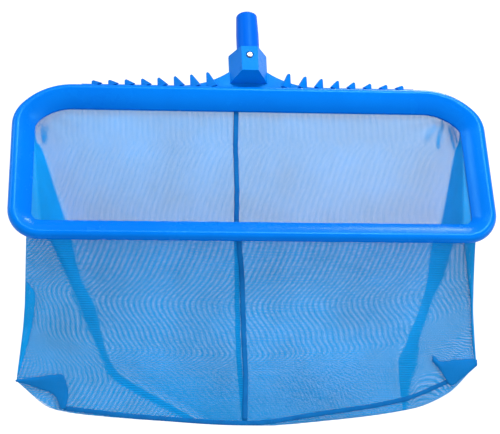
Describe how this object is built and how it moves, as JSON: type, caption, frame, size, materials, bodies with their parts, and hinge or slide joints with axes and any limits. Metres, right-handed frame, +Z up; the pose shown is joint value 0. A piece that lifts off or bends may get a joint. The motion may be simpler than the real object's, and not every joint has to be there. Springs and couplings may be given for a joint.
{
  "type": "leaf skimmer net",
  "caption": "Wide pool leaf skimmer head: funnel-rimmed plastic mouth frame with ribbed pole socket, stub and deep hanging mesh bag.",
  "frame": {"origin": "on the pole stub's axis, where the stub leaves its socket", "axes": "+X along the mouth to the right as seen from the mouth's side, +Z up as the net hangs, -Y out of the mouth; the tool leans 30 degrees back from +Z towards +Y"},
  "size_m": [0.5416, 0.1527, 0.4624],
  "materials": {
    "frame_plastic": "moulded, satin gloss",
    "stub_plastic": "moulded, satin",
    "steel": "stainless, plain",
    "spring_steel": "stainless strip",
    "net_mesh": "fine polyester mesh",
    "tape_cloth": "woven binding"
  },
  "bodies": {
    "net_head": {"front_collar": "frame_plastic", "rear_frame": "frame_plastic", "pole_stub": "stub_plastic", "stub_end_plug": "stub_plastic", "stub_bolt": "steel", "bolt_washer": "steel", "bolt_nut": "steel", "clamp_screws": "steel", "clip_base": "spring_steel", "bag_hem": "tape_cloth", "net_front_left": "net_mesh", "net_front_right": "net_mesh", "net_side_left": "net_mesh", "net_side_right": "net_mesh", "net_back_left": "net_mesh", "net_back_right": "net_mesh", "net_bottom": "net_mesh", "corner_fold_left": "net_mesh", "corner_fold_right": "net_mesh", "seam_tape_back": "tape_cloth", "seam_tape_front": "tape_cloth", "seam_tape_bottom": "tape_cloth"},
    "button_arm": {"clip_arm": "spring_steel", "lock_button": "spring_steel"}
  },
  "joints": [
    {"name": "button_press", "type": "hinge", "parent": "net_head", "child": "button_arm", "pos_m": [0, 0.01141, 0.00415], "axis": [1, 0, 0], "range_deg": [0, 7.5], "stiffness_Nm_per_rad": 2.5, "springref_deg": -1.72}
  ]
}
